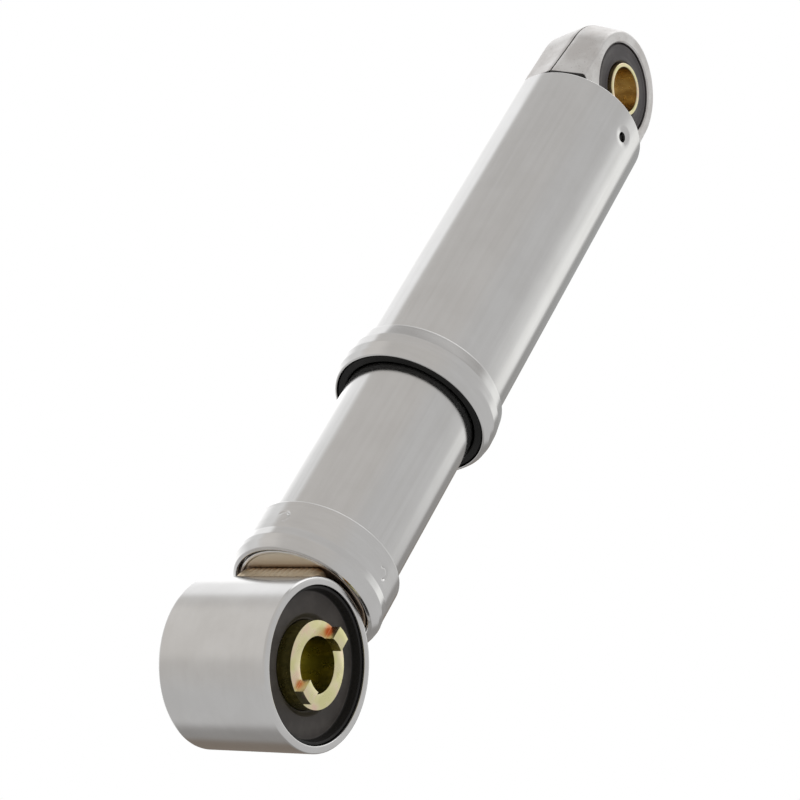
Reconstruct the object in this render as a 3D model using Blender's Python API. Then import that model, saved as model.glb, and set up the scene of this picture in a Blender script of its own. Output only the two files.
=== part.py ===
"""Rear shock absorber with telescoping metal covers.

The part stands upright on its lower eye. The origin is the centre of the
lower eye, +X runs along the mounting bolts and +Z runs up the damper to the
upper eye. All lengths below are in millimetres and are turned into metres
when a mesh is made.
"""

from math import cos, pi, radians, sin, sqrt

import bmesh
import bpy
from mathutils import Matrix, Vector

MM = 0.001

# Facets around turned pieces
OUTER_FACETS = 48
INNER_FACETS = 28
SMALL_FACETS = 20

# Overall layout
EYE_TO_EYE = 300.0
STROKE = 65.0
FIT_GAP = 0.3

# Lower eye: a plain tube across the bottom of the damper
LOWER_EYE_R = 28.5
LOWER_EYE_BORE_R = 25.8
LOWER_EYE_WIDTH = 43.5
LOWER_SLEEVE_R = 14.5
LOWER_SLEEVE_BORE_R = 9.35
LOWER_SLEEVE_END = 21.3
DOG_HEIGHT = 3.4
DOG_WIDTH = 6.0

# Upper eye: a casting with a round spigot in the top of the cover
UPPER_EYE_FACE_R = 22.3
UPPER_EYE_MID_R = 23.9
UPPER_EYE_FACE_LIFT = 0.7
UPPER_EYE_MID_LIFT = 3.5
UPPER_EYE_WIDTH = 27.0
UPPER_EYE_BORE_R = 18.3
UPPER_EYE_FOOT_Z = 278.6
SPIGOT_R = 25.35
SPIGOT_BOTTOM_Z = 258.8
UPPER_SLEEVE_R = 10.3
UPPER_SLEEVE_BORE_R = 8.7
UPPER_SLEEVE_END = 14.2

# Covers
UPPER_COVER_R = 27.1
UPPER_COVER_BORE_R = 25.7
UPPER_COVER_BOTTOM_Z = 125.4
UPPER_COVER_TOP_Z = 278.2
LOWER_COVER_R = 24.2
LOWER_COVER_BORE_R = 22.8
LOWER_COVER_BOTTOM_Z = 35.4
LOWER_COVER_TOP_Z = 165.0
PIN_Z = 267.4
PIN_ANGLE = -3.0

# Base of the damper: a thick cap that is welded straight onto the eye
BASE_PLATE_R = 24.1
BASE_PLATE_TOP_Z = 35.0
BASE_BOSS_R = 22.9
BASE_BOSS_Z = 31.5
BASE_RIM_Z = 28.9
BASE_FACE_Z = 29.4
WELD_LENGTH = 33.0

# Coil spring
SPRING_R = 18.6
WIRE_R = 3.1
SPRING_TURNS = 17.0
SPRING_BOTTOM_Z = 38.7
SPRING_TOP_Z = 251.1
SPRING_STEPS = 16
SPRING_SIDES = 6

# Damper
TUBE_R = 14.4
TUBE_BORE_R = 13.0
TUBE_BOTTOM_Z = 36.9
TUBE_TOP_Z = 168.0
CYLINDER_R = 11.4
CYLINDER_BORE_R = 10.2
ROD_R = 5.0
ROD_TOP_Z = 274.5
ROD_SHOULDER_Z = 145.0
ROD_SPIGOT_R = 3.4
ROD_BOTTOM_Z = 118.0
PISTON_R = 9.85
PISTON_BOTTOM_Z = 130.0
PISTON_TOP_Z = 142.1

for old in list(bpy.data.objects):
    bpy.data.objects.remove(old, do_unlink=True)


# ---------------------------------------------------------------- materials
def make_material(name, colour, roughness, metallic):
    """Return a Principled material with one plain colour."""
    material = bpy.data.materials.new(name)
    material.use_nodes = True
    shader = material.node_tree.nodes["Principled BSDF"]
    shader.inputs["Base Color"].default_value = (*colour, 1.0)
    shader.inputs["Roughness"].default_value = roughness
    shader.inputs["Metallic"].default_value = metallic
    return material


FINISHES = {
    "bright_plate": ((0.62, 0.61, 0.60), 0.28, 1.0),
    "cast_alloy": ((0.72, 0.71, 0.69), 0.45, 1.0),
    "yellow_zinc": ((0.80, 0.66, 0.30), 0.35, 1.0),
    "black_rubber": ((0.035, 0.032, 0.030), 0.80, 0.0),
    "black_plastic": ((0.012, 0.012, 0.012), 0.55, 0.0),
    "weld_steel": ((0.30, 0.24, 0.17), 0.55, 1.0),
    "plain_steel": ((0.42, 0.42, 0.41), 0.38, 1.0),
    "hard_chrome": ((0.78, 0.78, 0.78), 0.10, 1.0),
    "spring_steel": ((0.10, 0.10, 0.11), 0.45, 0.6),
    "sintered_iron": ((0.24, 0.23, 0.22), 0.60, 0.9),
    "bronze": ((0.62, 0.42, 0.20), 0.40, 1.0),
    "foam_yellow": ((0.70, 0.60, 0.30), 0.85, 0.0),
}


# ------------------------------------------------------------ mesh builders
def add_object(name, verts, faces, smooth_angle=35.0):
    """Make a mesh object from points in millimetres."""
    mesh = bpy.data.meshes.new(name)
    mesh.from_pydata([Vector(v) * MM for v in verts], [], faces)
    mesh.validate()
    work = bmesh.new()
    work.from_mesh(mesh)
    bmesh.ops.recalc_face_normals(work, faces=work.faces)
    work.to_mesh(mesh)
    work.free()
    mesh.shade_smooth()
    mesh.set_sharp_from_angle(angle=radians(smooth_angle))
    obj = bpy.data.objects.new(name, mesh)
    bpy.context.collection.objects.link(obj)
    return obj


def round_radius(radius, angle):
    """Every point of a plain turned part stays on its circle."""
    return radius


def hexagon(across_flats):
    """Return a radius rule that turns the outermost circle into a hexagon."""
    def rule(radius, angle):
        if radius < 0.5 * across_flats - 0.01:
            return radius
        turn = (angle + pi / 6) % (pi / 3) - pi / 6
        return 0.5 * across_flats / cos(turn)
    return rule


def lathe(name, profile, segments=48, axis="Z", centre_z=0.0, rule=round_radius):
    """Turn a closed profile of (radius, height) points about the Z or X axis.

    The profile runs up the outside first and comes down the inside. Points
    on the axis become a single vertex.
    """
    rings = []
    verts = []
    for radius, height in profile:
        steps = 1 if radius == 0 else segments
        ring = []
        for step in range(steps):
            angle = 2 * pi * step / segments
            r = rule(radius, angle)
            if axis == "Z":
                point = (r * cos(angle), r * sin(angle), height)
            else:
                point = (height, r * cos(angle), r * sin(angle) + centre_z)
            ring.append(len(verts))
            verts.append(point)
        rings.append(ring)
    faces = []
    for lower, upper in zip(rings, rings[1:] + rings[:1]):
        for step in range(segments):
            after = (step + 1) % segments
            quad = [
                lower[step % len(lower)],
                lower[after % len(lower)],
                upper[after % len(upper)],
                upper[step % len(upper)],
            ]
            corners = list(dict.fromkeys(quad))
            if len(corners) >= 3:
                faces.append(corners)
    return add_object(name, verts, faces)


def tube_profile(outer_r, inner_r, low, high, chamfer=0.0):
    """Closed profile of a plain ring or tube with chamfered outer edges."""
    if chamfer == 0.0:
        return [(outer_r, low), (outer_r, high), (inner_r, high), (inner_r, low)]
    return [
        (outer_r - chamfer, low),
        (outer_r, low + chamfer),
        (outer_r, high - chamfer),
        (outer_r - chamfer, high),
        (inner_r + chamfer, high),
        (inner_r, high - chamfer),
        (inner_r, low + chamfer),
        (inner_r + chamfer, low),
    ]


def sweep(name, path, sides_at, closed):
    """Join rings of points along a path; sides_at gives each ring."""
    rings = [sides_at(step, point) for step, point in enumerate(path)]
    sides = len(rings[0])
    verts = [point for ring in rings for point in ring]
    faces = []
    spans = len(rings) if closed else len(rings) - 1
    for ring in range(spans):
        here = ring * sides
        there = (ring + 1) % len(rings) * sides
        for side in range(sides):
            after = (side + 1) % sides
            faces.append((here + side, here + after, there + after, there + side))
    if not closed:
        last = (len(rings) - 1) * sides
        faces.append(tuple(reversed(range(sides))))
        faces.append(tuple(last + side for side in range(sides)))
    return add_object(name, verts, faces)


def cylinder_between(name, start, end, radius, segments=12):
    """Make a plain round bar between two points, mostly used as a drill."""
    start = Vector(start)
    end = Vector(end)
    direction = (end - start).normalized()
    side = direction.orthogonal().normalized()
    other = direction.cross(side)
    verts = []
    for centre in (start, end):
        for step in range(segments):
            angle = 2 * pi * (step + 0.4) / segments
            verts.append(centre + radius * (cos(angle) * side + sin(angle) * other))
    faces = [tuple(reversed(range(segments)))]
    faces.append(tuple(range(segments, 2 * segments)))
    for step in range(segments):
        after = (step + 1) % segments
        faces.append((step, after, segments + after, segments + step))
    return add_object(name, verts, faces)


def box(name, low, high):
    """Make an axis-aligned block between two corners."""
    verts = []
    for x in (low[0], high[0]):
        for y in (low[1], high[1]):
            for z in (low[2], high[2]):
                verts.append((x, y, z))
    faces = [(0, 1, 3, 2), (4, 6, 7, 5), (0, 4, 5, 1), (2, 3, 7, 6), (0, 2, 6, 4), (1, 5, 7, 3)]
    return add_object(name, verts, faces)


def combine(target, tool, operation):
    """Join the tool to the target, or cut it away, and drop the tool."""
    modifier = target.modifiers.new("combine", "BOOLEAN")
    modifier.operation = operation
    modifier.solver = "EXACT"
    modifier.object = tool
    bpy.context.view_layer.objects.active = target
    bpy.ops.object.modifier_apply(modifier=modifier.name)
    bpy.data.objects.remove(tool, do_unlink=True)
    target.data.shade_smooth()
    target.data.set_sharp_from_angle(angle=radians(35.0))


def drill(target, start, end, radius, segments=12):
    """Cut one round hole."""
    combine(target, cylinder_between("drill", start, end, radius, segments), "DIFFERENCE")


def polar(radius, degrees, z):
    """Point at a radius and an angle about the Z axis."""
    return (radius * cos(radians(degrees)), radius * sin(radians(degrees)), z)


# ------------------------------------------------------------ joint parents
def joint_parent(name, z):
    """Empty that stands on a joint's axis and carries its pieces."""
    empty = bpy.data.objects.new(name, None)
    empty.location = (0.0, 0.0, z * MM)
    empty.empty_display_size = 0.02
    bpy.context.collection.objects.link(empty)
    return empty


lower_bolt_axis = joint_parent("lower_bolt_axis", 0.0)
lower_bush_axis = joint_parent("lower_bush_axis", 0.0)
slide_axis = joint_parent("slide_axis", SPRING_TOP_Z)
rod_axis = joint_parent("rod_axis", SPIGOT_BOTTOM_Z)
upper_bush_axis = joint_parent("upper_bush_axis", EYE_TO_EYE)
materials = {name: make_material(name, *values) for name, values in FINISHES.items()}


def finish(obj, finish_name, parent):
    """Give a piece its finish and hang it on its joint's parent."""
    obj.data.materials.clear()
    obj.data.materials.append(materials[finish_name])
    obj.data.transform(Matrix.Translation(-parent.location))
    obj.parent = parent
    return obj


# ------------------------------------------------- lower sleeve (the ground)
sleeve_end = LOWER_SLEEVE_END + DOG_HEIGHT
sleeve = lathe(
    "lower_sleeve",
    [
        (LOWER_SLEEVE_R - 0.5, -LOWER_SLEEVE_END),
        (LOWER_SLEEVE_R, -LOWER_SLEEVE_END + 0.5),
        (LOWER_SLEEVE_R, sleeve_end),
        (LOWER_SLEEVE_BORE_R, sleeve_end),
        (LOWER_SLEEVE_BORE_R, -LOWER_SLEEVE_END),
    ],
    segments=OUTER_FACETS,
    axis="X",
)
for side in (-1, 1):
    near = side * DOG_WIDTH / 2
    far = side * (LOWER_SLEEVE_R + 2)
    slot = box(
        "slot",
        (LOWER_SLEEVE_END, min(near, far), -LOWER_SLEEVE_R - 2),
        (sleeve_end + 2, max(near, far), LOWER_SLEEVE_R + 2),
    )
    combine(sleeve, slot, "DIFFERENCE")
finish(sleeve, "yellow_zinc", lower_bolt_axis)

# ------------------------------------------------------- lower eye and bush
half = LOWER_EYE_WIDTH / 2
lower_eye = lathe(
    "lower_eye",
    tube_profile(LOWER_EYE_R, LOWER_EYE_BORE_R, -half, half, 0.6),
    segments=OUTER_FACETS,
    axis="X",
)
finish(lower_eye, "bright_plate", lower_bush_axis)

rubber_half = [
    (14.8, 16.0),
    (16.6, 17.4),
    (24.0, 17.4),
    (24.6, 20.6),
    (25.5, 20.6),
]
lower_rubber = lathe(
    "lower_bush_rubber",
    [(r, -x) for r, x in reversed(rubber_half)][::-1] + rubber_half[::-1],
    segments=OUTER_FACETS,
    axis="X",
)
finish(lower_rubber, "black_rubber", lower_bush_axis)

# ------------------------------------------------------ base of the damper
base_plate = lathe(
    "base_plate",
    [
        (BASE_BOSS_R - 0.4, BASE_RIM_Z),
        (BASE_BOSS_R, BASE_RIM_Z + 0.4),
        (BASE_BOSS_R, BASE_BOSS_Z),
        (BASE_PLATE_R, BASE_BOSS_Z),
        (BASE_PLATE_R, BASE_PLATE_TOP_Z),
        (0, BASE_PLATE_TOP_Z),
        (0, BASE_FACE_Z),
        (BASE_BOSS_R - 1.5, BASE_FACE_Z),
        (BASE_BOSS_R - 1.1, BASE_RIM_Z),
    ],
    segments=OUTER_FACETS,
)
finish(base_plate, "weld_steel", lower_bush_axis)


def on_eye(y):
    """Height of the weld's seat on the round eye at one place across it."""
    return sqrt((LOWER_EYE_R + FIT_GAP) ** 2 - y**2)


WELD_TOP_Z = BASE_FACE_Z - FIT_GAP
weld_section = [
    (9.5, WELD_TOP_Z),
    (9.5, on_eye(9.5)),
    (12.0, on_eye(12.0)),
    (14.5, on_eye(14.5)),
    (17.2, on_eye(17.2)),
    (16.6, 25.4),
    (15.8, 27.6),
    (14.7, WELD_TOP_Z),
]
weld_middle = (13.4, 27.4)
weld_stations = [(-1.0, 0.5), (-0.96, 0.82), (-0.88, 1.0), (0.88, 1.0), (0.96, 0.82), (1.0, 0.5)]


def weld_bead(name, side):
    """Fillet of weld along one side of the eye, rounded off at its ends."""
    def ring(step, station):
        place, size = station
        points = []
        for y, z in weld_section:
            y = weld_middle[0] + size * (y - weld_middle[0])
            z = weld_middle[1] + size * (z - weld_middle[1])
            points.append((place * WELD_LENGTH / 2, side * y, z))
        return points
    return sweep(name, weld_stations, ring, False)


finish(weld_bead("eye_weld_front", -1), "weld_steel", lower_bush_axis)
finish(weld_bead("eye_weld_rear", 1), "weld_steel", lower_bush_axis)

lower_collar = lathe(
    "lower_collar",
    [
        (24.6, 28.1),
        (25.3, 28.6),
        (26.3, 30.2),
        (27.0, 31.8),
        (27.2, 33.2),
        (27.1, 35.4),
        (26.9, 37.6),
        (26.9, 47.8),
        (26.5, 48.4),
        (24.5, 48.4),
        (24.5, 31.2),
        (23.6, 30.6),
        (23.4, 29.4),
        (24.0, 28.3),
    ],
    segments=OUTER_FACETS,
)
for turn in range(4):
    drill(lower_collar, polar(26.5, 90 * turn, 41.0), polar(28.5, 90 * turn, 41.0), 1.9, 8)
finish(lower_collar, "bright_plate", lower_bush_axis)

lower_cover = lathe(
    "lower_cover",
    tube_profile(LOWER_COVER_R, LOWER_COVER_BORE_R, LOWER_COVER_BOTTOM_Z, LOWER_COVER_TOP_Z, 0.3),
    segments=OUTER_FACETS,
)
finish(lower_cover, "bright_plate", lower_bush_axis)

lower_seat = lathe(
    "lower_spring_seat",
    [(15.0, 35.3), (22.4, 35.3), (22.4, 38.4), (15.0, 38.4)],
    segments=OUTER_FACETS,
)
finish(lower_seat, "plain_steel", lower_bush_axis)

# ------------------------------------------------------------- damper body
base_cap = lathe(
    "damper_base_cap",
    [(0, 35.3), (14.4, 35.3), (14.4, 36.6), (12.7, 36.6), (12.7, 39.6), (0, 39.6)],
    segments=INNER_FACETS,
)
finish(base_cap, "plain_steel", lower_bush_axis)

damper_tube = lathe(
    "damper_tube",
    tube_profile(TUBE_R, TUBE_BORE_R, TUBE_BOTTOM_Z, TUBE_TOP_Z),
    segments=INNER_FACETS,
)
finish(damper_tube, "plain_steel", lower_bush_axis)

cylinder = lathe(
    "inner_cylinder",
    tube_profile(CYLINDER_R, CYLINDER_BORE_R, 43.6, 155.9),
    segments=INNER_FACETS,
)
finish(cylinder, "plain_steel", lower_bush_axis)

foot_valve = lathe(
    "foot_valve_body",
    [
        (2.5, 40.0),
        (12.6, 40.0),
        (12.6, 43.2),
        (9.8, 43.2),
        (9.8, 46.2),
        (2.5, 46.2),
    ],
    segments=INNER_FACETS,
)
for turn in range(6):
    drill(foot_valve, polar(6.4, 60 * turn + 7, 39.0), polar(6.4, 60 * turn + 7, 47.0), 1.1, 8)
finish(foot_valve, "sintered_iron", lower_bush_axis)

foot_disc = lathe("foot_valve_disc", tube_profile(8.6, 2.5, 46.5, 47.0), segments=SMALL_FACETS)
finish(foot_disc, "plain_steel", lower_bush_axis)

foot_bolt = lathe(
    "foot_valve_bolt",
    [(0, 40.2), (2.2, 40.2), (2.2, 47.3), (3.8, 47.3), (3.8, 49.8), (3.3, 50.3), (0, 50.3)],
    segments=24,
)
finish(foot_bolt, "plain_steel", lower_bush_axis)

# -------------------------------------------------- damper head, rod guide
rod_guide = lathe(
    "rod_guide",
    [
        (7.2, 152.2),
        (9.8, 152.2),
        (9.8, 156.3),
        (12.7, 156.3),
        (12.7, 158.6),
        (11.2, 158.6),
        (11.2, 161.0),
        (12.7, 161.0),
        (12.7, 163.0),
        (7.2, 163.0),
    ],
    segments=INNER_FACETS,
)
finish(rod_guide, "sintered_iron", lower_bush_axis)

guide_bush = lathe("rod_guide_bush", tube_profile(6.9, ROD_R + 0.1, 152.4, 162.8), segments=INNER_FACETS)
finish(guide_bush, "bronze", lower_bush_axis)


def ring_profile(centre_r, centre_z, wire_r, sides):
    """Closed round profile for a moulded ring."""
    points = []
    for side in range(sides):
        turn = 2 * pi * side / sides
        points.append((centre_r + wire_r * cos(turn), centre_z + wire_r * sin(turn)))
    return points


guide_ring_seal = lathe("guide_o_ring", ring_profile(12.15, 159.8, 0.72, 8), segments=SMALL_FACETS)
finish(guide_ring_seal, "black_rubber", lower_bush_axis)

oil_seal = lathe(
    "rod_oil_seal",
    [(5.2, 163.3), (12.6, 163.3), (12.6, 167.0), (8.0, 167.0), (7.2, 164.8), (5.4, 166.4), (5.2, 165.4)],
    segments=INNER_FACETS,
)
finish(oil_seal, "black_rubber", lower_bush_axis)

gland_nut = lathe(
    "gland_nut",
    [(12.6, 167.3), (12.6, 168.3), (14.4, 168.3), (14.4, 170.1), (14.0, 170.5), (5.7, 170.5), (5.7, 167.3)],
    segments=INNER_FACETS,
)
for turn in range(2):
    drill(gland_nut, polar(10.0, 90 + 180 * turn, 169.0), polar(10.0, 90 + 180 * turn, 172.0), 1.3, 12)
finish(gland_nut, "plain_steel", lower_bush_axis)


# ------------------------------------------------------------- coil spring
def spring_heights():
    """Height of the wire's centre at each step, with closed end turns."""
    closed_pitch = 2 * WIRE_R + 0.7
    steps = int(SPRING_TURNS * SPRING_STEPS)
    start = SPRING_BOTTOM_Z + 0.45 * WIRE_R
    rise = (SPRING_TOP_Z - 0.45 * WIRE_R) - start
    weights = []
    for step in range(steps):
        turn = (step + 0.5) / SPRING_STEPS
        inside = min(turn, SPRING_TURNS - turn)
        weights.append(min(max((inside - 0.9) / 0.4, 0.0), 1.0))
    open_pitch = (rise * SPRING_STEPS - closed_pitch * sum(1 - w for w in weights)) / sum(weights)
    heights = [start]
    for weight in weights:
        pitch = closed_pitch + (open_pitch - closed_pitch) * weight
        heights.append(heights[-1] + pitch / SPRING_STEPS)
    return heights


def spring_ring(step, centre):
    """Wire section at one step, ground flat where it passes an end."""
    angle = 2 * pi * step / SPRING_STEPS
    outward = Vector((cos(angle), sin(angle), 0.0))
    ring = []
    for side in range(SPRING_SIDES):
        turn = 2 * pi * (side + 0.5) / SPRING_SIDES
        point = centre + WIRE_R * (cos(turn) * outward + sin(turn) * Vector((0, 0, 1)))
        point.z = min(max(point.z, SPRING_BOTTOM_Z), SPRING_TOP_Z)
        ring.append(point)
    return ring


spring_path = []
for step, height in enumerate(spring_heights()):
    angle = 2 * pi * step / SPRING_STEPS
    spring_path.append(Vector((SPRING_R * cos(angle), SPRING_R * sin(angle), height)))
spring = sweep("coil_spring", spring_path, spring_ring, False)
finish(spring, "spring_steel", lower_bush_axis)

# ------------------------------------- upper spring seat, carried by the rod
upper_seat = lathe(
    "upper_spring_seat",
    [
        (11.5, 247.2),
        (14.9, 247.2),
        (14.9, 251.4),
        (22.4, 251.4),
        (22.4, 254.6),
        (19.8, 257.2),
        (11.5, 257.2),
    ],
    segments=OUTER_FACETS,
)
finish(upper_seat, "plain_steel", slide_axis)

thrust_washer = lathe("seat_thrust_washer", tube_profile(20.0, 11.5, 257.5, 258.5), segments=OUTER_FACETS)
finish(thrust_washer, "bronze", slide_axis)


# --------------------------------------------------------------- upper eye
def eye_outline(top_r, lift, foot_half_width):
    """Outline in the Y-Z plane: straight flanks and a round top, lifted a little."""
    points = [(-foot_half_width, UPPER_EYE_FOOT_Z)]
    for step in range(25):
        angle = pi - pi * step / 24
        points.append((top_r * cos(angle), EYE_TO_EYE + lift + top_r * sin(angle)))
    points.append((foot_half_width, UPPER_EYE_FOOT_Z))
    return points


half = UPPER_EYE_WIDTH / 2
face_r, face_lift = UPPER_EYE_FACE_R, UPPER_EYE_FACE_LIFT
middle_r, middle_lift = UPPER_EYE_MID_R, UPPER_EYE_MID_LIFT
sections = [
    # distance from the parting line, top radius, its lift, half width of the foot
    (-half, face_r - 0.8, face_lift, 22.0),
    (-half + 0.8, face_r, face_lift, 22.8),
    (-0.5, middle_r, middle_lift, 26.1),
    (-0.3, middle_r + 0.3, middle_lift, 26.4),
    (0.3, middle_r + 0.3, middle_lift, 26.4),
    (0.5, middle_r, middle_lift, 26.1),
    (half - 0.8, face_r, face_lift, 22.8),
    (half, face_r - 0.8, face_lift, 22.0),
]


def eye_section(step, station):
    """Points of one cross section of the casting."""
    x, top_r, lift, foot = station
    return [(x, y, z) for y, z in eye_outline(top_r, lift, foot)]


upper_eye = sweep("upper_eye", sections, eye_section, False)
spigot = lathe(
    "spigot",
    [(0, SPIGOT_BOTTOM_Z), (24.6, SPIGOT_BOTTOM_Z), (SPIGOT_R, 259.6), (SPIGOT_R, 279.2), (0, 279.2)],
    segments=OUTER_FACETS,
)
combine(upper_eye, spigot, "UNION")
drill(upper_eye, (0.0, 0.0, 250.0), (0.0, 0.0, 276.0), ROD_R + FIT_GAP, SMALL_FACETS)
for turn in (0, 180):
    outer = polar(30.0, PIN_ANGLE + turn, PIN_Z)
    drill(upper_eye, polar(18.5, PIN_ANGLE + turn, PIN_Z), outer, 2.2, 12)
drill(upper_eye, (-40.0, 0.0, EYE_TO_EYE), (40.0, 0.0, EYE_TO_EYE), UPPER_EYE_BORE_R, OUTER_FACETS)
finish(upper_eye, "cast_alloy", rod_axis)

upper_rubber_half = [
    (10.6, 12.0),
    (11.6, 12.9),
    (17.2, 12.9),
    (18.0, 12.3),
]
upper_rubber = lathe(
    "upper_bush_rubber",
    [(r, -x) for r, x in upper_rubber_half] + upper_rubber_half[::-1],
    segments=OUTER_FACETS,
    axis="X",
    centre_z=EYE_TO_EYE,
)
finish(upper_rubber, "black_rubber", rod_axis)

upper_sleeve = lathe(
    "upper_sleeve",
    tube_profile(UPPER_SLEEVE_R, UPPER_SLEEVE_BORE_R, -UPPER_SLEEVE_END, UPPER_SLEEVE_END, 0.3),
    segments=OUTER_FACETS,
    axis="X",
    centre_z=EYE_TO_EYE,
)
finish(upper_sleeve, "yellow_zinc", upper_bush_axis)

# ------------------------------------------------------------- upper cover
upper_cover = lathe(
    "upper_cover",
    tube_profile(UPPER_COVER_R, UPPER_COVER_BORE_R, UPPER_COVER_BOTTOM_Z, UPPER_COVER_TOP_Z, 0.3),
    segments=OUTER_FACETS,
)
for turn in (0, 180):
    outer = polar(30.0, PIN_ANGLE + turn, PIN_Z)
    drill(upper_cover, polar(22.0, PIN_ANGLE + turn, PIN_Z), outer, 2.3, 12)
finish(upper_cover, "bright_plate", rod_axis)

for name, turn in (("cover_pin_front", 0), ("cover_pin_rear", 180)):
    inner = polar(18.9, PIN_ANGLE + turn, PIN_Z)
    outer = polar(25.9, PIN_ANGLE + turn, PIN_Z)
    pin = cylinder_between(name, inner, outer, 1.9, 12)
    finish(pin, "plain_steel", rod_axis)

upper_collar = lathe(
    "upper_collar",
    [
        (27.7, 118.2),
        (28.4, 118.4),
        (29.2, 119.5),
        (29.9, 121.4),
        (30.2, 123.8),
        (30.1, 128.5),
        (29.5, 132.5),
        (29.0, 133.0),
        (27.4, 133.0),
        (27.4, 126.6),
        (28.5, 125.6),
        (28.5, 120.6),
        (27.7, 119.8),
    ],
    segments=OUTER_FACETS,
)
finish(upper_collar, "bright_plate", rod_axis)

guide_ring = lathe(
    "cover_guide_ring",
    [
        (LOWER_COVER_R + 0.4, 116.5),
        (26.9, 116.5),
        (27.3, 116.9),
        (27.3, 120.9),
        (28.1, 121.4),
        (28.1, 125.0),
        (LOWER_COVER_R + 0.4, 125.0),
    ],
    segments=OUTER_FACETS,
)
finish(guide_ring, "black_plastic", rod_axis)

# ---------------------------------------------------- rod and what it holds
rod = lathe(
    "piston_rod",
    [
        (0, ROD_BOTTOM_Z),
        (ROD_SPIGOT_R - 0.5, ROD_BOTTOM_Z),
        (ROD_SPIGOT_R, ROD_BOTTOM_Z + 0.5),
        (ROD_SPIGOT_R, ROD_SHOULDER_Z),
        (ROD_R, ROD_SHOULDER_Z),
        (ROD_R, ROD_TOP_Z - 1.0),
        (ROD_R - 1.0, ROD_TOP_Z),
        (0, ROD_TOP_Z),
    ],
    segments=INNER_FACETS,
)
finish(rod, "hard_chrome", rod_axis)

lock_nut = lathe(
    "rod_lock_nut",
    [(ROD_R + FIT_GAP, 250.6), (8.5, 250.6), (8.5, 258.5), (ROD_R + FIT_GAP, 258.5)],
    segments=24,
    rule=hexagon(17.0),
)
finish(lock_nut, "plain_steel", rod_axis)

bump_cup = lathe(
    "bump_stop_cup",
    [(ROD_R + FIT_GAP, 249.4), (9.6, 249.4), (9.6, 247.0), (10.6, 247.0), (10.6, 250.3), (ROD_R + FIT_GAP, 250.3)],
    segments=SMALL_FACETS,
)
finish(bump_cup, "plain_steel", rod_axis)

bump_stop = lathe(
    "bump_stop",
    [
        (ROD_R + FIT_GAP, 235.8),
        (7.4, 235.8),
        (8.6, 237.4),
        (8.6, 239.6),
        (7.6, 241.2),
        (8.6, 242.8),
        (9.3, 245.0),
        (9.3, 249.1),
        (ROD_R + FIT_GAP, 249.1),
    ],
    segments=SMALL_FACETS,
)
finish(bump_stop, "foam_yellow", rod_axis)

rebound_stop = lathe("rebound_stop", tube_profile(8.8, ROD_R + FIT_GAP, 145.4, 151.8, 0.8), segments=SMALL_FACETS)
finish(rebound_stop, "black_rubber", rod_axis)

stop_washer = lathe("rebound_stop_washer", tube_profile(9.2, 3.7, 143.3, 144.7), segments=SMALL_FACETS)
finish(stop_washer, "plain_steel", rod_axis)

intake_shim = lathe("piston_intake_shim", tube_profile(8.4, 3.7, 142.4, 143.0), segments=SMALL_FACETS)
finish(intake_shim, "plain_steel", rod_axis)

piston = lathe(
    "damper_piston",
    [
        (3.7, PISTON_BOTTOM_Z),
        (9.4, PISTON_BOTTOM_Z),
        (PISTON_R, PISTON_BOTTOM_Z + 0.5),
        (PISTON_R, 134.6),
        (8.5, 134.6),
        (8.5, 137.4),
        (PISTON_R, 137.4),
        (PISTON_R, PISTON_TOP_Z - 0.5),
        (9.4, PISTON_TOP_Z),
        (3.7, PISTON_TOP_Z),
    ],
    segments=INNER_FACETS,
)
for turn in range(6):
    drill(piston, polar(6.2, 60 * turn + 7, 129.0), polar(6.2, 60 * turn + 7, 143.5), 1.1, 8)
finish(piston, "sintered_iron", rod_axis)

piston_ring = lathe("piston_ring", tube_profile(10.1, 8.8, 134.9, 137.1), segments=INNER_FACETS)
finish(piston_ring, "bronze", rod_axis)

shims = lathe(
    "rebound_shim_stack",
    [(3.7, 127.8), (5.4, 127.8), (5.4, 128.4), (6.9, 128.4), (6.9, 129.0), (8.4, 129.0), (8.4, 129.7), (3.7, 129.7)],
    segments=SMALL_FACETS,
)
finish(shims, "plain_steel", rod_axis)

piston_nut = lathe(
    "piston_nut",
    [(3.7, 119.8), (6.0, 119.8), (6.0, 127.5), (3.7, 127.5)],
    segments=24,
    rule=hexagon(12.0),
)
finish(piston_nut, "plain_steel", rod_axis)
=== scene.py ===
# %% [markdown]
# # Rear shock absorber
# A telescopic damper stands on its lower eye. Two bright sheet-metal covers
# slide one inside the other round a coil spring and a damper, and each end has
# a rubber bush with a plated sleeve for the mounting bolt.
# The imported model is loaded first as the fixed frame: every place and size that
# follows is read from it, and every visible piece made here rides on one of its
# bodies.

from math import atan2, cos, pi, radians, sin, sqrt, tan

import bmesh
import bpy
from mathutils import Matrix, Quaternion, Vector


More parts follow.
